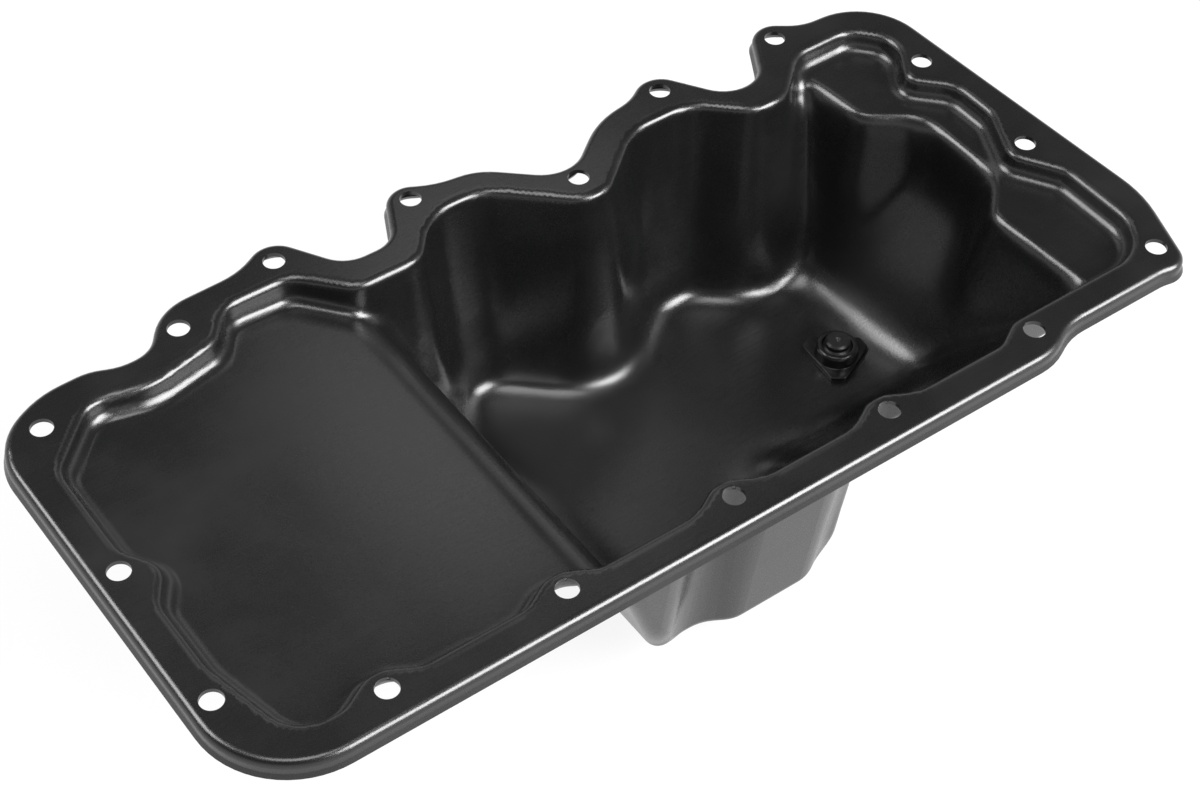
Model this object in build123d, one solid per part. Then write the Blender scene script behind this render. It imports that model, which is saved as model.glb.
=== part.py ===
from build123d import *
import math
import os

os.makedirs("parts", exist_ok=True)

# Millimetres. X runs along the front bolt row toward the deep end, Y toward the scalloped back
# edge, Z up. Z = 0 is the gasket face. The origin is midway between the front left and back
# right corner bolts.

# ---- sheet and flange ----
sheet = 1.6            # steel thickness
bolt_hole = 8.0        # clearance for M6 screws
row_pitch = 66.0       # spacing of the five bolts along the straight edge
row_middle = -10.0     # X of the middle one
row_y = -79.1
end_bolt_x = 186.7     # bolts at the deep end
lip_depth = 6.6        # gasket face to the foot of the turned-down edge
lip_bend = 2.6         # outside radius where the flange turns down
foot_out = 0.9         # how far the trimmed foot stands proud of the lip
foot_height = 1.8      # height of that flared foot
roll = 3.0             # radius where the gasket face rolls into the bowl

# ---- bowl ----
draft = 7.0            # slope of the drawn walls, degrees from upright
sump_depth = 90.0      # gasket face to the sump floor, inside
shallow_depth = 8.3    # gasket face to the shallow floor at its far end, inside
shallow_fall = 2.7     # how much lower that floor is where it reaches the sump
ledge_depth = 8.3      # gasket face to the ledges at the deep end, inside
floor_round = 5.0      # inside radius between the drawn walls and the floors
rim_round = 4.0        # inside radius along the edge of the ledges

brow_round = 18.0      # inside radius where the shallow floor turns down into the sump
step_foot = -23.0      # X of the foot of the step wall, on the sump floor
step_slope = 21.8      # slope of the step wall, degrees from upright
step_round = 12.0      # inside radius between the step wall and the sump floor

end_foot = 145.5       # X of the foot of the deep end wall
end_slope = 6.0        # slope of the deep end wall, degrees from upright
end_skew = 3.5         # turn of the end wall in plan, degrees
end_round = 12.0       # inside radius between the sump floor and the end wall

ledge_width = 17.0     # opening edge to the upright wall of the bay that widens the deep end
bay_left, bay_right = 60.0, -27.0    # Y where the bay's mouth starts and stops
bay_taper = 8.0        # slope of the bay's two flank walls, degrees from upright
bay_slope = 31.0       # slope of the bay's lower face, degrees from upright
bay_rise = 17.0        # height above the sump floor at which that face meets the end wall
bay_round = 6.0        # inside radius along the top of that face
mouth_round = 7.0      # radius of the two edges where the bay opens out of the end wall

front_y = -77.5        # opening edge behind the front bolts
end_x = -181.5         # opening edge at the shallow end
far_x = 188.0          # opening edge at the deep end
dip = 6.0              # how far the opening steps in round each front bolt
ramp_x = 57.0          # X where the front wall changes to a long ramp
ramp_top = -83.0       # Y where the ramp would reach the gasket face
ramp_foot = -16.7      # Y of the ramp's foot on the sump floor
ramp_round = 8.0       # radius along the ramp's edge and foot

# ---- drain ----
drain_x, drain_y = 120.0, 11.2
drain_thread = 12.0    # M12 plug
thread_gap = 0.1       # radial play between the plug and whatever it passes through
plate = 2.3            # thickness of the nut's welding plate
plate_reach = 13.3     # drain axis to the plate's three corners
plate_turn = -5.0      # direction of one of those corners, degrees
plate_end = 2.8        # half the width of each cropped corner
boss_across = 17.0     # diameter of the nut's boss
boss_height = 7.6      # sump floor to the top of the boss
boss_edge = 1.0        # chamfer round the top of the boss
tip_across = 9.8       # diameter of the plug's plain end
tip_rise = 2.6         # how far that end stands above the boss
tip_edge = 0.8         # chamfer round that end
centre_hole = 2.6      # lathe centre in that end
head_across = 17.0     # plug's hexagon, flat to flat
head_height = 6.5
collar_across = 21.0   # plug's collar
collar = 2.0
gasket_across = 20.0   # sealing washer under the collar
gasket = 1.5


def rounded(corners, z):
    """Closed wire at height z through (x, y, radius) corners: straight runs and tangent arcs."""
    points = [Vector(x, y, z) for x, y, r in corners]
    count = len(points)
    arcs = []
    for i, (x, y, r) in enumerate(corners):
        back = (points[i - 1] - points[i]).normalized()
        ahead = (points[(i + 1) % count] - points[i]).normalized()
        half = math.acos(back.dot(ahead)) / 2
        run = r / math.tan(half)
        middle = (back + ahead).normalized() * (r / math.sin(half) - r)
        arcs.append((points[i] + back * run, points[i] + middle, points[i] + ahead * run))
    edges = []
    for i, (start, mid, end) in enumerate(arcs):
        edges.append(Edge.make_three_point_arc(start, mid, end))
        edges.append(Edge.make_line(end, arcs[(i + 1) % count][0]))
    return Wire(edges)


def inset(corners, step):
    """Move each side of a clockwise outline inward; step is one distance or one for each side."""
    count = len(corners)
    steps = step if isinstance(step, list) else [step] * count
    sides = []
    for i in range(count):
        a = Vector(corners[i][0], corners[i][1])
        b = Vector(corners[(i + 1) % count][0], corners[(i + 1) % count][1])
        along = (b - a).normalized()
        sides.append((a + Vector(along.Y, -along.X) * steps[i], along))
    moved = []
    for i in range(count):
        (p, s), (q, t) = sides[i - 1], sides[i]
        turn = s.X * t.Y - s.Y * t.X
        gap = q - p
        at = p + s * ((gap.X * t.Y - gap.Y * t.X) / turn)
        shift = (steps[i - 1] + steps[i]) / 2
        radius = corners[i][2] + (shift if turn > 0 else -shift)
        moved.append((at.X, at.Y, max(radius, 0.5)))
    return moved


def tapered(corners, top, bottom, slope):
    """Solid between two heights whose sides lean inward by slope degrees on the way down."""
    slopes = slope if isinstance(slope, list) else [slope] * len(corners)
    leans = [(top - bottom) * math.tan(math.radians(a)) for a in slopes]
    return Solid.make_loft([rounded(inset(corners, leans), bottom), rounded(corners, top)], ruled=True)


def upright(corners, top, bottom):
    """Straight-sided plate of an outline between two heights."""
    return Solid.extrude(Face(rounded(corners, bottom)), Vector(0, 0, top - bottom))


def along_y(points):
    """Prism running right across the part in Y from an (x, z) outline."""
    wire = Wire.make_polygon([Vector(x, -160, z) for x, z in points], close=True)
    return Solid.extrude(Face(wire), Vector(0, 320, 0))


def long_edges(body, x, z):
    """Edges running along Y whose middle is near this x and z."""
    found = [e for e in body.edges() if e.length > 90 and abs((e % 0.5).Y) > 0.9]
    return [e for e in found if abs((e @ 0.5).X - x) < 6 and abs((e @ 0.5).Z - z) < 3]


def largest(shape):
    """The biggest solid of a cut or a union."""
    return shape.solids().sort_by(SortBy.VOLUME)[-1]


def spot(edge):
    """Where an edge's middle is, to tell edges apart."""
    middle = edge @ 0.5
    return round(middle.X, 3), round(middle.Y, 3), round(middle.Z, 3)


# ---- outline of the opening, clockwise from the far left, seen from above ----
deep = 23.0            # plan radius of opening corners above the sump
plain = 12.5           # plan radius of the other opening corners
opening = [
    (end_x, 54, plain), (-160.5, 74.7, plain), (-139, 69.5, 30), (-111, 75.8, 12),
    (-101, 88.4, plain), (-75, 88.4, plain), (-58, 70, 12), (-31.5, 70, 14),
    (-17, 87.6, deep), (5.5, 87.6, deep), (38.9, 57.6, 14), (70, 83, deep), (97, 83.4, deep),
    (123.2, 59, 19), (149.5, 83, plain), (174.5, 83.6, plain), (185.5, 72, plain),
    (184.2, 62.5, plain), (174.6, 48, 6), (far_x, 34.5, plain), (far_x, 15, plain), (177.3, -7, 8),
    (far_x + 0.8, -25, plain), (far_x + 0.8, front_y + dip, 20),
    (119, front_y + dip, 10), (108.5, front_y, plain),
]
for i, r in ((1, deep), (0, deep), (-1, plain), (-2, plain)):
    x = row_middle + row_pitch * i
    opening += [
        (x + 14, front_y, r), (x + 3.5, front_y + dip, 10),
        (x - 3.5, front_y + dip, 10), (x - 14, front_y, r),
    ]
opening += [
    (-172.6, front_y, 15), (end_x, -40, 20), (end_x, -12, plain), (-172.8, 1, 8), (end_x, 14, plain),
]

# ---- outline of the flange, clockwise from the front left corner ----
flange = [
    (-195, -91, 33), (-195, 66, 28), (-188, 79.5, 25), (-172, 88, 36), (-153, 88.5, 21),
    (-143, 84, 20), (-131.5, 84.8, 12), (-120, 100.3, 22), (-88, 101.2, 30), (-71.3, 110.5, 10.6),
    (-54.5, 83.6, 13), (-35.5, 83.6, 11), (-22.7, 109.4, 9.4), (-6, 100.5, 36), (10.5, 98.8, 26),
    (36.9, 75.9, 16), (63, 96, 40), (80.5, 98.5, 24), (94.7, 108.3, 11), (122, 67.9, 14.5),
    (146.1, 108.7, 9.8), (163, 97, 20), (197.4, 95.4, 27), (204.5, -50, 50), (191, -86.5, 9),
    (180, -84.3, 20), (134.5, -84.3, 26), (121, -91, 26),
]

bolts = [
    (-177.6, 73.2), (-118.7, 88), (-75.2, 98), (-18.3, 98), (38.3, 73.2), (92.3, 95.5), (148.4, 95.5),
    (end_bolt_x, 52.8), (end_bolt_x, -5.4), (end_bolt_x, -73.5), (-end_bolt_x, -52.8), (-185.7, 6),
]
bolts += [(row_middle + row_pitch * i, row_y) for i in range(-2, 3)]


def bowl(grow):
    """Solid that fills the bowl: grow is 0 for the inside skin, the sheet for the outside skin."""
    floor = -sump_depth - grow
    ledge = -ledge_depth - grow

    # sump floor, step wall and shallow floor, right across the part
    fall = shallow_fall / 121
    steep = math.tan(math.radians(step_slope))
    foot = step_foot - grow / math.cos(math.radians(step_slope))
    high = -shallow_depth - grow
    brow_z = (high - fall * (foot - sump_depth * steep - end_x)) / (1 - fall * steep)
    brow_x = foot - (brow_z + sump_depth) * steep
    low_x = foot + grow * steep
    body = along_y([
        (-260, 20), (-260, high + fall * (end_x + 260)), (brow_x, brow_z),
        (low_x, floor), (260, floor), (260, 20),
    ])

    # long ramp that replaces the front wall of the deep end
    lean = (ramp_foot - ramp_top) / sump_depth
    back = grow * math.sqrt(1 + lean * lean)
    ramp_side = Wire.make_polygon([
        Vector(ramp_x + grow, ramp_top - back - 10 * lean, 10),
        Vector(ramp_x + grow, ramp_foot - back + 20 * lean, -sump_depth - 20),
        Vector(ramp_x + grow, -160, -sump_depth - 20),
        Vector(ramp_x + grow, -160, 10),
    ], close=True)
    ramp = Solid.extrude(Face(ramp_side), Vector(200, 0, 0))
    left = [e for e in ramp.edges() if abs((e @ 0.5).X - ramp_x - grow) < 0.01]
    crest = [e for e in left if (e % 0.5).Y * (e % 0.5).Z < -0.01]
    ramp = ramp.fillet(ramp_round - grow, crest)

    # end wall with the ledges on top and the bay let into it
    wall_x = end_foot + grow / math.cos(math.radians(end_slope))
    wall_lean = math.tan(math.radians(end_slope))
    end = along_y([
        (wall_x - 40 * wall_lean, -sump_depth - 40), (wall_x + (ledge + sump_depth) * wall_lean, ledge),
        (400, ledge), (400, -sump_depth - 40),
    ]).rotate(Axis((end_foot, 0, 0), (0, 0, 1)), end_skew)
    bay_wall = far_x - ledge_width
    bay_foot = sump_depth - bay_rise
    bay_plan = [
        (90, bay_left, 5), (135, bay_left, 12), (bay_wall, 36, 12),
        (bay_wall, -7, 12), (150, bay_right, 12), (90, bay_right, 5),
    ]
    bay = tapered(inset(bay_plan, -grow), 0, -bay_foot - 7 - grow, [0, bay_taper, 1, bay_taper, 0, 0])
    steep = math.tan(math.radians(bay_slope))
    under_x = end_foot + (sump_depth - bay_foot) * wall_lean + grow / math.cos(math.radians(bay_slope))
    bay = largest(bay - along_y([
        (under_x - 30 * steep, -bay_foot - 30), (under_x + 60 * steep, -bay_foot + 60),
        (300, -bay_foot + 60), (300, -bay_foot - 30),
    ]))
    under = [f for f in bay.faces() if abs(f.normal_at().Z + math.sin(math.radians(bay_slope))) < 1e-3]
    bay = bay.fillet(bay_round + grow, [e for e in under[0].edges() if (e @ 0.5).Z > -bay_foot - 5])
    end = largest(end - bay)
    mouth = [e for e in end.edges() if (e @ 0).Z - (e @ 1).Z > 25 or (e @ 1).Z - (e @ 0).Z > 25]
    mouth = [e for e in mouth if abs((e @ 0.5).Y) < 70 and end_foot - 10 < (e @ 0.5).X < end_foot + 10]
    end = end.fillet(mouth_round - grow, mouth)
    rim = [e for e in end.edges() if abs((e @ 0.1).Z - ledge) < 0.001 and abs((e @ 0.9).Z - ledge) < 0.001]
    end = end.fillet(rim_round - grow, [e for e in rim if (e @ 0.5).X < 200 and abs((e @ 0.5).Y) < 150])

    body = largest(body - ramp - end)
    body = body.fillet(brow_round - grow, long_edges(body, brow_x, brow_z))
    body = body.fillet(step_round + grow, long_edges(body, low_x, floor))
    sump = [f for f in body.faces() if f.normal_at().Z < -0.999 and abs(f.center().Z - floor) < 0.01]
    feet = [e for f in sump for e in f.edges() if ramp_x - 10 < (e @ 0.5).X < 200]
    feet = [e for e in feet if -150 < (e @ 0.5).Y < 150]
    body = body.fillet(end_round + grow, feet)

    # drawn side walls, then one radius all along the line where they meet the floors
    punch = tapered(inset(opening, -grow), 0, floor - 4, draft)
    body = largest(punch & body)
    slant = -math.sin(math.radians(draft))
    walls = [f for f in body.faces() if abs(f.normal_at().Z - slant) < 1e-4]
    floors = [f for f in body.faces() if abs(f.normal_at().Z - slant) > 1e-4 and f.normal_at().Z < 0.99]
    on_walls = {spot(e) for f in walls for e in f.edges()}
    foot_line = {spot(e): e for f in floors for e in f.edges() if spot(e) in on_walls}
    return body.fillet(floor_round + grow * 0.4, list(foot_line.values()))


# ---- pressed steel pan ----
rim_block = upright(flange, 0, -lip_depth)
rim_block = rim_block.fillet(lip_bend, rim_block.faces().sort_by(Axis.Z)[-1].edges())
flare = math.degrees(math.atan(foot_out / foot_height))
rim_block += tapered(flange, foot_height - lip_depth, -lip_depth, -flare)

inner = inset(flange, sheet)
hollow = upright(inner, -sheet, -lip_depth)
hollow = hollow.fillet(lip_bend - sheet, hollow.faces().sort_by(Axis.Z)[-1].edges())
hollow += tapered(inner, foot_height - lip_depth, -lip_depth, -flare)
pan = rim_block - hollow

pan += bowl(sheet)
pan -= bowl(0)
pan = largest(pan)
for x, y in bolts:
    pan -= Pos(x, y, 0) * Cylinder(bolt_hole / 2, 3 * lip_bend)
pan -= Pos(drain_x, drain_y, -sump_depth) * Cylinder(drain_thread / 2 + 2 * thread_gap, 6 * sheet)
pan = largest(pan)
face = [f for f in pan.faces() if abs(f.center().Z) < 0.001 and f.normal_at().Z > 0.99][0]
pan = pan.fillet(roll, face.inner_wires().sort_by(SortBy.LENGTH)[-1].edges())
export_step(pan, "parts/oil_pan.step")

# ---- drain nut, welded to the sump floor ----
turns = [math.radians(plate_turn - 120 * i) for i in range(3)]
corners = [(drain_x + plate_reach * math.cos(t), drain_y + plate_reach * math.sin(t)) for t in turns]
ends = []
for (x, y), t in zip(corners, turns):
    across = Vector(-math.sin(t), math.cos(t)) * plate_end
    ends += [(x + across.X, y + across.Y, 1.5), (x - across.X, y - across.Y, 1.5)]
nut = upright(ends, plate - sump_depth, -sump_depth)
boss = Pos(drain_x, drain_y, boss_height / 2 - sump_depth) * Cylinder(boss_across / 2, boss_height)
boss = chamfer(boss.edges().sort_by(Axis.Z)[-1], boss_edge)
nut += boss
nut -= Pos(drain_x, drain_y, -sump_depth) * Cylinder(drain_thread / 2, 3 * boss_height)
export_step(nut, "parts/drain_nut.step")

# ---- sealing washer and drain plug, from below ----
under = -sump_depth - sheet
washer = Cylinder(gasket_across / 2, gasket) - Cylinder(drain_thread / 2 + 2 * thread_gap, 2 * gasket)
export_step(Pos(drain_x, drain_y, under - gasket / 2) * washer, "parts/drain_plug_gasket.step")

top = boss_height + tip_rise - sump_depth
seat = under - gasket
shank = drain_thread / 2 - thread_gap
half_plug = Wire.make_polygon([
    Vector(0, 0, top - centre_hole / 2), Vector(centre_hole / 2, 0, top),
    Vector(tip_across / 2 - tip_edge, 0, top), Vector(tip_across / 2, 0, top - tip_edge),
    Vector(tip_across / 2, 0, top - tip_rise), Vector(shank, 0, top - tip_rise - shank + tip_across / 2),
    Vector(shank, 0, seat), Vector(collar_across / 2, 0, seat), Vector(collar_across / 2, 0, seat - collar),
    Vector(0, 0, seat - collar),
], close=True)
plug = Solid.revolve(Face(half_plug), 360, Axis.Z)
hexagon = extrude(RegularPolygon(head_across / 2, 6, major_radius=False), head_height)
foot = head_across / 2 - 0.5
cone = Cone(foot, foot + head_height / math.tan(math.radians(30)), head_height)
cone = Pos(0, 0, head_height / 2) * cone
plug += Pos(0, 0, seat - collar - head_height) * (hexagon & cone)
export_step(Pos(drain_x, drain_y, 0) * plug, "parts/drain_plug.step")
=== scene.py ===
# %% [markdown]
# # Engine oil pan
# This lesson dresses a pressed-steel oil pan. The exact shape comes ready-made as a frame of
# CAD solids, so the work here is the finish of each piece, a softer inside for the pressing,
# broken edges for the nut, the floor, the light and the camera. Everything is in metres unless
# a name says otherwise, and Z = 0 is the face that the gasket sits on.

# %% Load the frame
import math
import bmesh
import bpy
import numpy as np
from mathutils import Matrix, Vector
from mathutils.bvhtree import BVHTree


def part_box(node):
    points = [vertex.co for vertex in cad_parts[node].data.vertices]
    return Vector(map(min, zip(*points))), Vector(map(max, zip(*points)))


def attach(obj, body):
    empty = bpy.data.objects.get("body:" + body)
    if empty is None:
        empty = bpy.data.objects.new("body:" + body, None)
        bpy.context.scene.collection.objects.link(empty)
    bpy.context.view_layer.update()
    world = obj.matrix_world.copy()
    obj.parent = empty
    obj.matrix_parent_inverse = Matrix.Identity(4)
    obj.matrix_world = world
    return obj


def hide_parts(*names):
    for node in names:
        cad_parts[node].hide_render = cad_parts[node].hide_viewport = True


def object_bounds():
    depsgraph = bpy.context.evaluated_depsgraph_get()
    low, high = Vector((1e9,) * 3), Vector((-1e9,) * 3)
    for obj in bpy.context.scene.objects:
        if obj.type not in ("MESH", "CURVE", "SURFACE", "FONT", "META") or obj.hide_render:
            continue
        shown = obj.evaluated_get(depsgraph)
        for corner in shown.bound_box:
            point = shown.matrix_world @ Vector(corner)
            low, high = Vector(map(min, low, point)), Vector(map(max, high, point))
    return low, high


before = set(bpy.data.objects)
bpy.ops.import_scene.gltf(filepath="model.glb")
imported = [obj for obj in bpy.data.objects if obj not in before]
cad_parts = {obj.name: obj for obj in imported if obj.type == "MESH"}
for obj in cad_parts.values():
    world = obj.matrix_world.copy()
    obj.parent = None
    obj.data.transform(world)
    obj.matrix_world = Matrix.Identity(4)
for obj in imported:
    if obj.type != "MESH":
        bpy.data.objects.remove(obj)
cad_low, cad_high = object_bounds()
MM = 0.001
print("nodes:", sorted(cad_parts))
print("overall size, m:", [round(b - a, 4) for a, b in zip(cad_low, cad_high)])

# %% [markdown]
# ## A small helper for shader maths
# A finish is a sum of small effects: a grain, a haze, a few rubbed places. Written as node links
# that is long and hard to read, so one class wraps a socket and lets +, - and * add the Math
# nodes. The function `add` makes a node of any kind: its settings first, then its sockets.

# %% Socket wrapper
class Sock:
    def __init__(self, tree, socket):
        self.tree, self.socket = tree, socket

    def math(self, operation, *values):
        sockets = dict(enumerate((self,) + values))
        return add(self.tree, "ShaderNodeMath", {"operation": operation}, sockets)

    def __add__(self, other):
        return self.math("ADD", other)

    def __mul__(self, other):
        return self.math("MULTIPLY", other)

    def __rsub__(self, other):
        return (self * -1.0) + other

    __radd__, __rmul__ = __add__, __mul__

    def clip(self):
        return add(self.tree, "ShaderNodeClamp", {}, {0: self})

    def ramp(self, low, high):
        """0 below low, 1 above high, straight between."""
        sockets = {"Value": self, "From Min": low, "From Max": high}
        return add(self.tree, "ShaderNodeMapRange", {"clamp": True}, sockets)


def add(tree, kind, settings, inputs, out=0):
    """One node of any kind. Inputs may be numbers, colours or wrapped sockets."""
    node = tree.nodes.new(kind)
    for name, value in settings.items():
        setattr(node, name, value)
    for name, value in inputs.items():
        if isinstance(value, Sock):
            tree.links.new(value.socket, node.inputs[name])
        else:
            node.inputs[name].default_value = value
    return Sock(tree, node.outputs[out]) if node.outputs else None


print("sockets take +, - and *")

# %% [markdown]
# ## Helpers for painting
# Every finish here starts the same way: a Principled shader and the object's own coordinates,
# which stay with the piece when it moves. The patterns are noises laid on those coordinates.
# Colours are mixed by a Mix node, because a Math node would turn them grey.

# %% Finish helpers
def new_finish(name):
    """A material with its Principled shader, and the object's own coordinates to paint with."""
    made = bpy.data.materials.new(name)
    made.use_nodes = True
    shader = made.node_tree.nodes["Principled BSDF"]
    place = add(made.node_tree, "ShaderNodeTexCoord", {}, {}, "Object")
    return made, shader, place


def noise(place, scale, detail, rough):
    """Soft cloudy pattern; scale is in blotches per metre."""
    return add(place.tree, "ShaderNodeTexNoise", {"normalize": True},
               {"Vector": place, "Scale": scale, "Detail": detail, "Roughness": rough}, "Fac")


def stretched(place, x, y, z):
    """The same coordinates, stretched, so that a pattern runs out into streaks."""
    return add(place.tree, "ShaderNodeMapping", {}, {"Vector": place, "Scale": (x, y, z)})


def mix_colour(amount, first, second):
    """Mix of two colours: the first where the amount is 0, the second where it is 1."""
    tree = amount.tree
    node = tree.nodes.new("ShaderNodeMix")
    node.data_type = "RGBA"
    tree.links.new(amount.socket, node.inputs[0])
    for slot, value in ((6, first), (7, second)):
        if isinstance(value, Sock):
            tree.links.new(value.socket, node.inputs[slot])
        else:
            node.inputs[slot].default_value = (*value, 1.0)
    return Sock(tree, node.outputs[2])


def drive(shader, name, value):
    """Feed one of the shader's sockets with a pattern."""
    value.tree.links.new(value.socket, shader.inputs[name])


def bumped(shader, height, depth):
    """Raise the surface by a pattern; depth is the height of its tops in metres."""
    sockets = {"Strength": 1.0, "Distance": depth, "Height": height}
    drive(shader, "Normal", add(height.tree, "ShaderNodeBump", {}, sockets, "Normal"))


print("finish helpers ready")

# %% [markdown]
# ## Black coating on the pressing
# The real pan is dipped in a black electrocoat. It is thin and satin: it shows a fine grain on
# the flat places, follows every ripple that the press left, and dulls where it was handled. A
# noise of about 0.4 mm gives the grain, one of 2 mm the orange peel and one of 40 mm the ripple
# of drawn sheet. Fine streaks run along the pan. The largest noise changes the gloss from place
# to place. The colour itself stays nearly black.

# %% Pan coating
coating, shader, place = new_finish("black_coating")
grain = noise(place, scale=2600.0, detail=2.0, rough=0.6)
peel = noise(place, scale=420.0, detail=2.0, rough=0.5)
ripple = noise(place, scale=26.0, detail=2.0, rough=0.4)
haze = noise(place, scale=14.0, detail=4.0, rough=0.6)
streaks = noise(stretched(place, 30.0, 900.0, 900.0), scale=1.0, detail=2.0, rough=0.5)
handled = haze.ramp(0.42, 0.72)
drive(shader, "Base Color", mix_colour(handled, (0.0038, 0.0039, 0.0041), (0.0070, 0.0070, 0.0073)))
drive(shader, "Roughness", (0.17 + 0.07 * handled + 0.14 * grain + 0.04 * streaks).clip())
shader.inputs["IOR"].default_value = 1.6
shader.inputs["Metallic"].default_value = 0.0
bumped(shader, grain * 0.60 + peel * 0.50 + ripple * 2.4 + streaks * 0.15, depth=0.04 * MM)
print("coating nodes:", len(coating.node_tree.nodes))

# %% [markdown]
# ## The drain nut
# The nut is welded in before the pan is coated, so it wears the same black. Its forged plate is
# coarser than rolled sheet, so the grain is larger and a little deeper.

# %% Nut coating
nut_coating, shader, place = new_finish("nut_coating")
forged = noise(place, scale=900.0, detail=4.0, rough=0.6)
haze = noise(place, scale=60.0, detail=3.0, rough=0.5)
drive(shader, "Base Color", mix_colour(haze, (0.004, 0.004, 0.0043), (0.008, 0.008, 0.0083)))
drive(shader, "Roughness", (0.14 + 0.12 * forged).clip())
bumped(shader, forged, depth=0.05 * MM)
print("nut nodes:", len(nut_coating.node_tree.nodes))

# %% [markdown]
# ## The drain plug
# The plug is turned steel with a dark plating. Faint rings from the lathe run round its axis, so
# their pattern is read from the distance to that axis: the sine of it rises and falls twice in
# a millimetre.

# %% Plug plating
RING_RATE = 14000.0            # radians of the rings' sine per metre
low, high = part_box("drain_plug")
axis_x, axis_y = (low.x + high.x) / 2, (low.y + high.y) / 2


def vector_maths(operation, first, *other, out=0):
    """One Vector Math node on wrapped coordinates."""
    sockets = dict(enumerate((first,) + other))
    return add(first.tree, "ShaderNodeVectorMath", {"operation": operation}, sockets, out)


plating, shader, place = new_finish("dark_plating")
from_axis = vector_maths("SUBTRACT", place, (axis_x, axis_y, 0))
across = vector_maths("MULTIPLY", from_axis, (1.0, 1.0, 0.0))
radius = vector_maths("LENGTH", across, out="Value")
rings = (radius * RING_RATE).math("SINE")
blotch = noise(place, scale=350.0, detail=4.0, rough=0.6)
drive(shader, "Base Color", mix_colour(blotch, (0.035, 0.035, 0.037), (0.075, 0.073, 0.070)))
drive(shader, "Roughness", (0.24 + 0.16 * blotch + 0.03 * rings).clip())
shader.inputs["Metallic"].default_value = 0.85
bumped(shader, rings * 0.15 + blotch * 0.5, depth=0.02 * MM)
print("plug axis:", round(axis_x, 4), round(axis_y, 4))

# %% [markdown]
# ## The washer
# The washer is soft bright metal that the plug's collar has squeezed, so its face is blotchy and
# slightly dull. It is bare metal: Metallic is 1, and the colour is what it mirrors with.

# %% Washer metal
soft_metal, shader, place = new_finish("washer_metal")
blotch = noise(place, scale=500.0, detail=4.0, rough=0.6)
drive(shader, "Base Color", mix_colour(blotch, (0.60, 0.60, 0.61), (0.74, 0.74, 0.75)))
drive(shader, "Roughness", (0.30 + 0.20 * blotch).clip())
shader.inputs["Metallic"].default_value = 1.0
bumped(shader, blotch, depth=0.03 * MM)
print("washer nodes:", len(soft_metal.node_tree.nodes))

# %% [markdown]
# ## Dress the pieces
# The plug and the washer keep their own shape and only take a new material, so their place and
# size stay exactly what the drawing says. The pan and the nut get their coatings here too,
# though a softened copy of each stands in for it below.

# %% Assign the finishes
finishes = {
    "oil_pan": coating,
    "drain_nut": nut_coating,
    "drain_plug": plating,
    "drain_plug_gasket": soft_metal,
}
for name, made in finishes.items():
    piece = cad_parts[name]
    piece.data.materials.clear()
    piece.data.materials.append(made)
    print(name, "->", made.name)

# %% [markdown]
# ## A softer inside for the pressing
# A press draws the bowl over a punch with generous corners, and the sheet flows a little further
# than a drawing says. A drawing's long thin triangles can't be smoothed, so the inside is made
# again as an even net of small squares, which can: the air above the pan is closed into a
# solid, remeshed with voxels and laid back on the true surface. The flange, its holes and the
# outside stay as drawn. First comes a copy of the pressing that remembers its exact normals,
# because they keep the rolled edges smooth in the shiny coating.

# %% Copy the pressing
WELD = 0.002 * MM              # points nearer than this are one point
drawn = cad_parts["oil_pan"].data
shell = bmesh.new()
shell.from_mesh(drawn)
exact = shell.loops.layers.float_vector.new("exact_normal")
corners = [loop for face in shell.faces for loop in face.loops]
for loop, normal in zip(corners, drawn.corner_normals):
    loop[exact] = normal.vector
bmesh.ops.remove_doubles(shell, verts=shell.verts, dist=WELD)
shell.faces.ensure_lookup_table()
print("pressing:", len(shell.faces), "faces,", len(shell.verts), "points")

# %% [markdown]
# ## Find the inside
# Fillets join all the inside's walls and floors, so a flood that starts on the bowl's floor and
# crosses only edges that bend gently reaches all of them. It stops at the flat top of the
# flange, and at the sharp edge of the drain hole.

# %% Flood from the bowl's floor
GENTLE = 0.7                   # cosine of the largest bend that the flood crosses
UPWARDS = 0.99                 # a face whose normal rises more than this looks straight up
TOP_REACH = 0.01 * MM          # how far a point of the flange's top may lie from Z = 0


def is_flange_top(face):
    return face.normal.z > UPWARDS and all(abs(point.co.z) < TOP_REACH for point in face.verts)


def flood(start):
    reached, waiting = {start}, [start]
    while waiting:
        face = waiting.pop()
        for other in {other for edge in face.edges for other in edge.link_faces} - reached:
            if face.normal.dot(other.normal) > GENTLE and not is_flange_top(other):
                reached.add(other)
                waiting.append(other)
    return reached


over_bowl, down = Vector((0.02, 0.0, 0.1)), Vector((0.0, 0.0, -1.0))
floor_face = BVHTree.FromBMesh(shell).ray_cast(over_bowl, down)[2]
floor_height = shell.faces[floor_face].verts[0].co.z
inside = flood(shell.faces[floor_face])
flange_top = {face for face in shell.faces if is_flange_top(face)}
print("inside:", len(inside), "faces, flange top:", len(flange_top))

# %% [markdown]
# ## Close the air above the pan
# Voxels need a closed solid, and a sheet 1.6 mm thick would need very small ones. The air above
# the pan is a thick solid with the same skin, so larger ones do. Its outer rim is pulled up into
# a low wall, and every opening left is closed with one face.

# %% Solid of air
RIM_WALL = 12 * MM             # height of the wall that closes the air above the flange


def copied(faces):
    """A new mesh of these faces alone."""
    made, points = bmesh.new(), {}
    for face in faces:
        for point in face.verts:
            if point not in points:
                points[point] = made.verts.new(point.co)
        made.faces.new([points[point] for point in face.verts])
    return made


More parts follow.
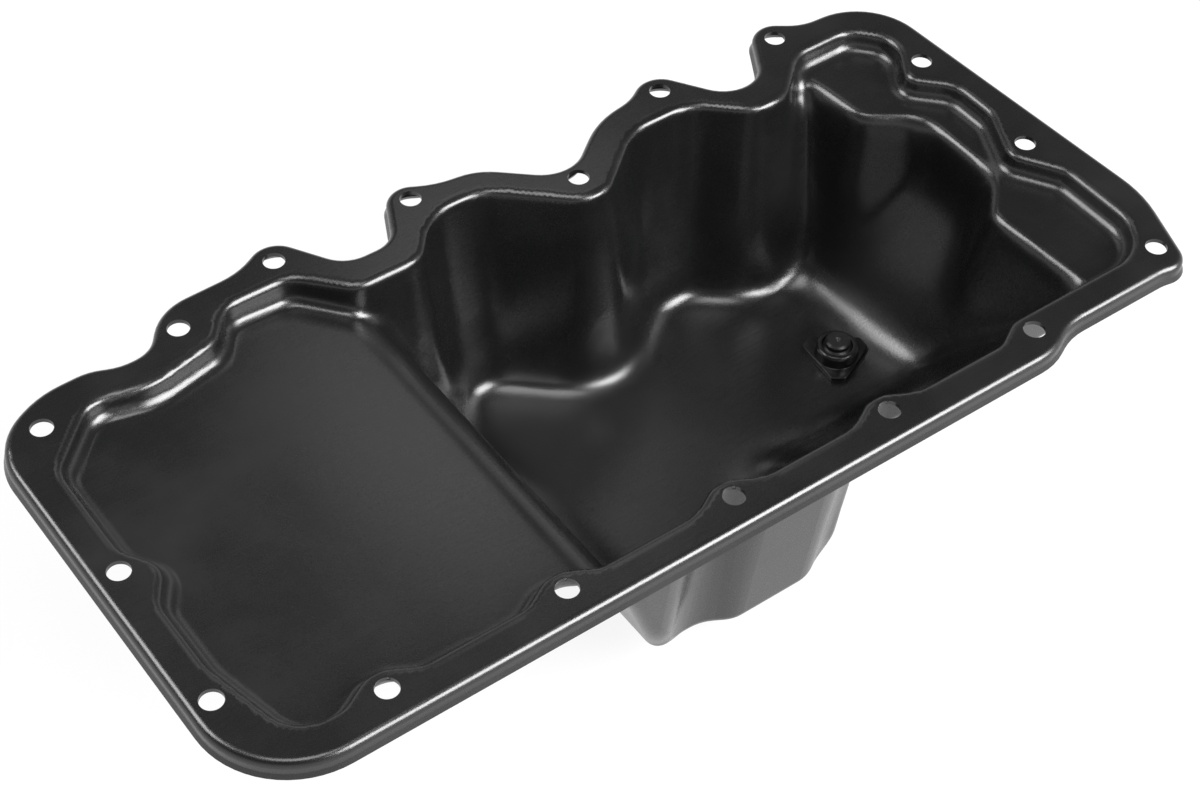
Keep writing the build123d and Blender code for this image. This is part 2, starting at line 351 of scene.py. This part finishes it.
def open_rims(mesh):
    """The open edges, sorted into loops, the longest first."""
    left, rims = {edge for edge in mesh.edges if edge.is_boundary}, []
    while left:
        rim = [left.pop()]
        for edge in rim:
            beside = {other for point in edge.verts for other in point.link_edges} & left
            left -= beside
            rim.extend(beside)
        rims.append(rim)
    return sorted(rims, key=lambda rim: -sum(edge.calc_length() for edge in rim))


inside_surface = BVHTree.FromBMesh(copied(inside))
air = copied(inside | flange_top)
air_surface = BVHTree.FromBMesh(air)
wall = bmesh.ops.extrude_edge_only(air, edges=open_rims(air)[0])["geom"]
wall_top = [part for part in wall if isinstance(part, bmesh.types.BMVert)]
bmesh.ops.translate(air, verts=wall_top, vec=(0.0, 0.0, RIM_WALL))
for rim in open_rims(air):
    bmesh.ops.holes_fill(air, edges=rim, sides=0)
bmesh.ops.recalc_face_normals(air, faces=air.faces)
print("air, litres:", round(air.calc_volume() * 1000, 2))

# %% [markdown]
# ## Turn the air into an even net
# The Remesh modifier in its voxel mode wraps the solid in squares that are all alike. The helper
# object is only there to carry the modifier, so it is removed once its result is kept.

# %% Voxel net
VOXEL = 1.42 * MM              # spacing of the even net
air_mesh = bpy.data.meshes.new("air")
air.to_mesh(air_mesh)
air_piece = bpy.data.objects.new("air", air_mesh)
bpy.context.scene.collection.objects.link(air_piece)
voxels = air_piece.modifiers.new("voxels", "REMESH")
voxels.mode = "VOXEL"
voxels.voxel_size = VOXEL
ready = air_piece.evaluated_get(bpy.context.evaluated_depsgraph_get())
net = bpy.data.meshes.new_from_object(ready)
bpy.data.objects.remove(air_piece)
print("net:", len(net.polygons), "squares")

# %% [markdown]
# ## Lay the net on the true surface
# Voxels leave small steps, so each point will go to the nearest place on the drawn surface.
# First, only the squares of the inside are kept, with a narrow margin on the flat of the flange,
# where the joint to the rest can't be seen. The other joint runs round the drain hole, hidden
# under the nut.

# %% Keep the inside
MARGIN = 1.8 * MM              # how far the net reaches past the inside, onto the flange
DRAIN_RING = 8.0 * MM          # radius of the joint round the drain hole
points = np.array([point.co[:] for point in net.vertices])
squares = np.array([square.vertices[:] for square in net.polygons])
found = [inside_surface.find_nearest(Vector(point), MARGIN)[0] for point in points]
near = np.array([place is not None for place in found])
near &= np.hypot(points[:, 0] - axis_x, points[:, 1] - axis_y) > DRAIN_RING
squares = squares[near[squares].all(axis=1)]


def sides_of(squares):
    """Every side of every square, and the number of the square that it belongs to."""
    sides = np.concatenate([squares[:, [i, (i + 1) % 4]] for i in range(4)])
    return np.sort(sides, axis=1), np.tile(np.arange(len(squares)), 4)


def open_sides(sides):
    """True for each side that only one square has."""
    _, which, times = np.unique(sides, axis=0, return_inverse=True, return_counts=True)
    return times[which.ravel()] == 1


print("near the inside:", len(squares), "squares")

# %% [markdown]
# ## Drop the loose squares and snap the rest
# A square with three open sides, or with a corner where two rims meet, is loose. Dropping it may
# make the next one loose, so this goes on until none is left. Then the points go down onto the
# drawn surface, and those of the outer rim exactly onto the flange's flat.

# %% Trim and snap
RIM_DEPTH = 1.0 * MM           # a rim point no deeper than this belongs to the flange
loose = np.ones(1, bool)
while loose.any():
    sides, owner = sides_of(squares)
    free_side = open_sides(sides)
    rim_sides_at = np.bincount(sides[free_side].ravel(), minlength=len(points))
    rim_sides_of = np.bincount(owner[free_side], minlength=len(squares))
    loose = (rim_sides_of > 2) | (rim_sides_at[squares] > 2).any(axis=1)
    squares = squares[~loose] if loose.any() else squares

used, squares = np.unique(squares, return_inverse=True)
squares = squares.reshape(-1, 4)
points = np.array([air_surface.find_nearest(Vector(point))[0][:] for point in points[used]])
sides, _ = sides_of(squares)
rim_points = np.unique(sides[open_sides(sides)])
edges = np.unique(sides, axis=0)
on_flange = rim_points[points[rim_points, 2] > -RIM_DEPTH]
points[on_flange, 2] = 0.0
print("kept:", len(squares), "squares,", len(rim_points), "points on the rims")

# %% [markdown]
# ## Relax the corners
# Moving each point a little towards the middle of its neighbours, many times, rounds a corner
# and leaves a flat alone. A weight for each point says how much it moves: most in the corners
# round the bowl's floor, more still at the foot of the end wall, less in the bay, a little at
# the front edge of the ledges, and nothing where the net joins the flange.

# %% Tools for relaxing
def smoothstep(values, low, high):
    """0 below low, 1 above high, with soft ends."""
    t = np.clip((values - low) / (high - low), 0.0, 1.0)
    return t * t * (3.0 - 2.0 * t)


def relaxed(values, weight, rounds):
    """Move each row of values towards the mean of its neighbours, by its own weight."""
    there, back = np.concatenate([edges, edges[:, ::-1]]).T
    size = len(values)
    neighbours = np.bincount(there, minlength=size)
    for _ in range(rounds):
        sums = [np.bincount(there, column[back], size) / neighbours for column in values.T]
        values = values + weight[:, None] * (np.stack(sums, axis=1) - values)
    return values


def spread(mask, rounds):
    """Let a mask run out softly over its neighbours."""
    return relaxed(mask.astype(float)[:, None], np.ones(len(mask)), rounds)[:, 0]


FREE = 0.8                     # weight of a point that no rim holds
HELD = 0.25                    # a point is held fast from this share of the spread rim
at_rim = np.zeros(len(points), bool)
at_rim[rim_points] = True
steady = FREE * (1.0 - spread(at_rim, 2).clip(0.0, HELD) / HELD)
print("points held at the rims:", int((steady == 0.0).sum()))

# %% [markdown]
# ## Choose the corners and relax them
# Each place is picked out by how far along the pan it lies and how deep, in millimetres. The
# numbers are where its weight starts to change and where it has changed in full, so that no
# corner ends with a step.

# %% Relax
FLOOR_CORNER_Z = (-76.0, -54.0)      # full below the first height, none above the second
BAY_X, BAY_Z = (128.0, 140.0), (-18.0, -12.0)
END_FOOT_X, END_FOOT_Z = (122.0, 140.0), (-66.0, -40.0)
LEDGE_X, LEDGE_Z = (140.0, 150.0), (-20.0, -9.2)
BAY_SHARE = 0.6                      # the bay is softened less than the floor's corners
FLOOR_ROUNDS, FOOT_ROUNDS, LEDGE_ROUNDS, LEDGE_SPREAD = 90, 75, 26, 8

drawn_points = points.copy()
x, _, z = points.T / MM
floor_corner = 1.0 - smoothstep(z, *FLOOR_CORNER_Z)
bay = smoothstep(x, *BAY_X) * (1.0 - smoothstep(z, *BAY_Z))
end_foot = smoothstep(x, *END_FOOT_X) * (1.0 - smoothstep(z, *END_FOOT_Z))
ledge_band = (x > LEDGE_X[1]) & (z > LEDGE_Z[0]) & (z < LEDGE_Z[1])
ledge_front = spread(ledge_band, LEDGE_SPREAD) * smoothstep(x, *LEDGE_X)
points = relaxed(points, steady * np.maximum(floor_corner, BAY_SHARE * bay), FLOOR_ROUNDS)
points = relaxed(points, steady * end_foot, FOOT_ROUNDS)
points = relaxed(points, steady * ledge_front, LEDGE_ROUNDS)
print("moved at most, mm:", round(float(np.abs(points - drawn_points).max() / MM), 2))

# %% [markdown]
# ## The tray's gentle fall
# The tray isn't quite flat: drawing the bowl pulls its floor down towards the ramp, more and
# more steeply. It is only about a millimetre, but the coating shows it as a slow change of grey.

# %% Bow the tray
RISE, FALL = 0.8, 1.2                # mm, up at the tray's far part and down at the ramp
BOW_START_X, RAMP_X = -120.0, -58.0  # mm, where the fall begins and where it is complete
TRAY_END_X = -30.0                   # mm, nothing beyond this belongs to the tray
TRAY_DEPTH, RAMP_DEPTH = (2.0, 7.5), (14.0, 44.0)    # mm below the flange, fading in and out
x, _, z = points.T / MM
on_tray = smoothstep(-z, *TRAY_DEPTH) * (1.0 - smoothstep(-z, *RAMP_DEPTH)) * (x < TRAY_END_X)
towards_ramp = np.clip((x - BOW_START_X) / (RAMP_X - BOW_START_X), 0.0, 1.0) ** 2
points[:, 2] += (RISE - (RISE + FALL) * towards_ramp) * MM * on_tray
print("tray bowed between", RISE, "and", -FALL, "mm")

# %% [markdown]
# ## Stay within the sheet
# The outside stays as drawn, so a point of the inside that sinks into the sheet must not come
# out behind. Each one that sinks too deep is pulled back, and what was pulled is relaxed again
# so that no crease is left.

# %% Hold the depth
WISHED_DEPTH, LAST_DEPTH = 0.9 * MM, 1.2 * MM
PASSES, EASE, EASE_ROUNDS = 3, 0.6, 4


def within_sheet(points, deepest):
    """Pull back each point that lies deeper in the sheet than this."""
    held = []
    for point in map(Vector, points):
        foot, normal, _, apart = inside_surface.find_nearest(point)
        if apart > deepest and (point - foot).dot(normal) < 0.0:
            point = foot + (point - foot) * (deepest / apart)
        held.append(point[:])
    return np.array(held)


for _ in range(PASSES):
    held = within_sheet(points, WISHED_DEPTH)
    pulled = np.abs(held - points).max(axis=1) > 0.001 * MM
    points = relaxed(held, EASE * steady * spread(pulled, EASE_ROUNDS), EASE_ROUNDS)
points = within_sheet(points, LAST_DEPTH)
print("points pulled back in the last round:", int(pulled.sum()))

# %% [markdown]
# ## Join the net to the flange
# The drawn inside and flange top come out of the shell and the net goes in. The flat ring
# between the net and the edge of the flange, with its bolt holes, is filled in one go, because
# all its rims lie in one plane. The drain hole is joined to the floor in the same way.

# %% Join
LEVEL = 0.02 * MM              # how far a rim may lie from the height of its flat
bmesh.ops.delete(shell, geom=list(inside | flange_top), context="FACES")
net_points = [shell.verts.new(point) for point in points]
net_faces = [shell.faces.new([net_points[i] for i in square[::-1]]) for square in squares]
flats = []
for height in (0.0, floor_height):
    level = [edge for edge in shell.edges if edge.is_boundary
             and all(abs(point.co.z - height) < LEVEL for point in edge.verts)]
    made = bmesh.ops.triangle_fill(shell, edges=level, use_beauty=True, normal=(0.0, 0.0, 1.0))
    flats += [part for part in made["geom"] if isinstance(part, bmesh.types.BMFace)]
print("flat faces:", len(flats), "open edges left:", sum(edge.is_boundary for edge in shell.edges))

# %% [markdown]
# ## Give the normals back
# The flats get straight normals, the net gets the mean of its squares at each point, and
# everything else keeps the exact ones that were remembered.

# %% Normals
UP = Vector((0.0, 0.0, 1.0))
shell.normal_update()
for face in flats:
    for loop in face.loops:
        loop[exact] = UP
mean = {point: Vector() for point in net_points}
for face in net_faces:
    for point in face.verts:
        mean[point] += face.normal * face.calc_area()
on_flat = {point for face in flats for point in face.verts}
for face in net_faces:
    for loop in face.loops:
        loop[exact] = UP if loop.vert in on_flat else mean[loop.vert].normalized()
print("points on the flats:", len(on_flat))

# %% [markdown]
# ## Stand in for the drawn pan
# The shell becomes a mesh, the remembered normals become its custom normals, and the extra
# attribute that carried them goes. The new piece takes the coating and the drawn pan's place.

# %% Pressing
pressing_mesh = bpy.data.meshes.new("pressing")
shell.to_mesh(pressing_mesh)
remembered = pressing_mesh.attributes["exact_normal"]
normals = [corner.vector[:] for corner in remembered.data]
pressing_mesh.attributes.remove(remembered)
pressing_mesh.shade_smooth()
pressing_mesh.normals_split_custom_set(normals)
print("normals set:", len(normals))

pressing = bpy.data.objects.new("pressing", pressing_mesh)
bpy.context.scene.collection.objects.link(pressing)
pressing_mesh.materials.append(coating)
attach(pressing, "root")
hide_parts("oil_pan")
print("triangles:", sum(len(face.vertices) - 2 for face in pressing_mesh.polygons))

# %% [markdown]
# ## Break the nut's edges
# A forged nut has no knife edges: each is rounded by about half a millimetre, and that thin
# round catches the light all along the plate. A Bevel modifier does it on a copy of the nut,
# once the triangles of each flat have been joined into one face.

# %% Nut with broken edges
EDGE_ROUND = 0.5 * MM
FLAT_WITHIN, SHARP_OVER = 0.01, 0.5  # radians, bends that count as flat and as an edge
nut_shell = bmesh.new()
nut_shell.from_mesh(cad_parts["drain_nut"].data)
bmesh.ops.remove_doubles(nut_shell, verts=nut_shell.verts, dist=WELD)
bmesh.ops.dissolve_limit(
    nut_shell, angle_limit=FLAT_WITHIN, verts=nut_shell.verts, edges=nut_shell.edges)
nut_mesh = bpy.data.meshes.new("welded_nut")
nut_shell.to_mesh(nut_mesh)
nut_mesh.shade_smooth()
nut = bpy.data.objects.new("welded_nut", nut_mesh)
bpy.context.scene.collection.objects.link(nut)
broken = nut.modifiers.new("broken_edges", "BEVEL")
broken.width, broken.segments = EDGE_ROUND, 3
broken.limit_method, broken.angle_limit = "ANGLE", SHARP_OVER
broken.harden_normals = True
nut_mesh.materials.append(nut_coating)
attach(nut, "root")
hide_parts("drain_nut")
print("nut faces:", len(nut_mesh.polygons))

# %% [markdown]
# ## Floor
# A plain pale sheet lies under the part, at its lowest point. Seen straight by the camera it is
# almost pure white, as a lit studio sweep is, and it still takes a faint shadow. Mirror-like
# rays see it white as well, so that the coating reflects it.

# %% Sheet on the ground
FLOOR_REACH = 6.0              # half the side of the square sheet
base = cad_low[2]
around = ((-1, -1), (1, -1), (1, 1), (-1, 1))
floor_points = [(x * FLOOR_REACH, y * FLOOR_REACH, base) for x, y in around]
floor_mesh = bpy.data.meshes.new("floor")
floor_mesh.from_pydata(floor_points, [], [(0, 1, 2, 3)])
floor = bpy.data.objects.new("floor", floor_mesh)
bpy.context.scene.collection.objects.link(floor)
print("floor at z =", round(base, 4))

# %% [markdown]
# ## The sheet's paper
# The Light Path node tells which kind of ray has met the sheet. For the camera's, the mirrored
# and the passing ones it is nine tenths glow, as white as a studio sweep, and one tenth paper,
# which still shows the faint shadow. All other rays meet plain pale paper, so that it throws
# soft light back at the part.

# %% White sweep
SWEEP_GLOW = 0.90
sweep = bpy.data.materials.new("white_sweep")
sweep.use_nodes = True
tree = sweep.node_tree
tree.nodes.clear()
camera_ray = add(tree, "ShaderNodeLightPath", {}, {}, "Is Camera Ray")
glossy_ray = Sock(tree, camera_ray.socket.node.outputs["Is Glossy Ray"])
passing_ray = Sock(tree, camera_ray.socket.node.outputs["Is Transmission Ray"])
seen = (camera_ray + glossy_ray + passing_ray).clip()
paper = add(tree, "ShaderNodeBsdfDiffuse", {}, {"Color": (0.80, 0.80, 0.80, 1.0)})
lit = add(tree, "ShaderNodeEmission", {}, {"Color": (1.0, 1.0, 1.0, 1.0), "Strength": 1.0})
shown = add(tree, "ShaderNodeMixShader", {}, {0: seen * SWEEP_GLOW, 1: paper, 2: lit})
add(tree, "ShaderNodeOutputMaterial", {}, {"Surface": shown})
floor_mesh.materials.append(sweep)
print("sweep nodes:", len(tree.nodes))

# %% [markdown]
# ## Light
# Black satin metal is drawn by what it mirrors, so the lamps are few, large and soft. One box
# hangs overhead and draws the rolled edges. One in front to the right lights the round corners
# under the scalloped wall, and one behind to the left those at the foot of the end wall. A small
# dim one stands close behind, where the tray mirrors it, and fades out towards the other flats.
# The upper sky stays dark, which keeps the flats deep grey.

# %% Soft boxes
def soft_box(name, place, aim, width, height, radiance):
    """Rectangular lamp whose power gives a chosen brightness of its face."""
    lamp = bpy.data.lights.new(name, "AREA")
    lamp.shape = "RECTANGLE"
    lamp.size, lamp.size_y = width, height
    lamp.energy = radiance * math.pi * width * height
    lamp.color = (1.0, 1.0, 1.0)
    made = bpy.data.objects.new(name, lamp)
    made.location = place
    made.rotation_euler = (Vector(aim) - Vector(place)).to_track_quat("-Z", "Y").to_euler()
    bpy.context.scene.collection.objects.link(made)
    print(name, "power", round(lamp.energy, 1), "W")


pan_middle, tray_middle = (0.0, 0.0, -0.03), (-0.075, 0.0, -0.012)
soft_box("box_overhead", (-0.25, -0.20, 1.30), pan_middle, width=0.70, height=0.60, radiance=6.0)
soft_box("box_front", (0.62, -1.10, 0.85), pan_middle, width=1.10, height=0.90, radiance=21.0)
soft_box("box_back_left", (-0.75, 0.85, 1.15), pan_middle, width=0.80, height=0.80, radiance=10.0)
soft_box("box_tray", (0.215, 0.367, 0.440), tray_middle, width=0.20, height=0.20, radiance=1.2)

# %% [markdown]
# ## Sky
# The camera sees the sky as white. Everything else sees it pale along the horizon and dark
# overhead, as in a room with white walls and a black ceiling, so that upright walls look soft
# and flats stay deep.

# %% Studio world
HORIZON, CEILING = 0.10, 0.50  # heights of the ray's direction where the sky is pale and dark
world = bpy.data.worlds.new("studio")
world.use_nodes = True
bpy.context.scene.world = world
tree = world.node_tree
tree.nodes.clear()
camera_ray = add(tree, "ShaderNodeLightPath", {}, {}, "Is Camera Ray")
direction = add(tree, "ShaderNodeTexCoord", {}, {}, "Generated")
height = add(tree, "ShaderNodeSeparateXYZ", {}, {0: direction}, "Z")
glow = 1.0 - height.ramp(HORIZON, CEILING)
sky = mix_colour(glow, (0.10, 0.10, 0.10), (0.90, 0.90, 0.90))
dim = add(tree, "ShaderNodeBackground", {}, {"Color": sky, "Strength": 1.0})
white = add(tree, "ShaderNodeBackground", {}, {"Color": (1.0, 1.0, 1.0, 1.0), "Strength": 1.0})
shown = add(tree, "ShaderNodeMixShader", {}, {0: camera_ray, 1: dim, 2: white})
add(tree, "ShaderNodeOutputWorld", {}, {"Surface": shown})
bpy.context.scene.view_settings.view_transform = "Standard"
print("sky ready")

# %% [markdown]
# ## Camera
# The camera looks down at about 47 degrees from the front left corner. Its place and two of its
# axes are given outright, because a tilt as small as two degrees already shows on a part with
# straight edges. The lens is a short telephoto, so the far end shrinks only a little.

# %% Camera
eye = Vector((-0.3526, -0.4474, 0.5809))
ahead = Vector((0.4194, 0.5394, -0.7301)).normalized()
up = Vector((0.4162, 0.6005, 0.6828))
side = ahead.cross(up).normalized()
up = side.cross(ahead)
camera_data = bpy.data.cameras.new("camera")
camera_data.lens = 71.64
camera_data.sensor_width = 36.0
camera_data.sensor_fit = "HORIZONTAL"
camera_data.clip_start = 0.01
camera = bpy.data.objects.new("camera", camera_data)
camera.matrix_world = Matrix.Translation(eye) @ Matrix((side, up, -ahead)).transposed().to_4x4()
bpy.context.scene.collection.objects.link(camera)
bpy.context.scene.camera = camera
print("camera distance, m:", round(eye.length, 3))
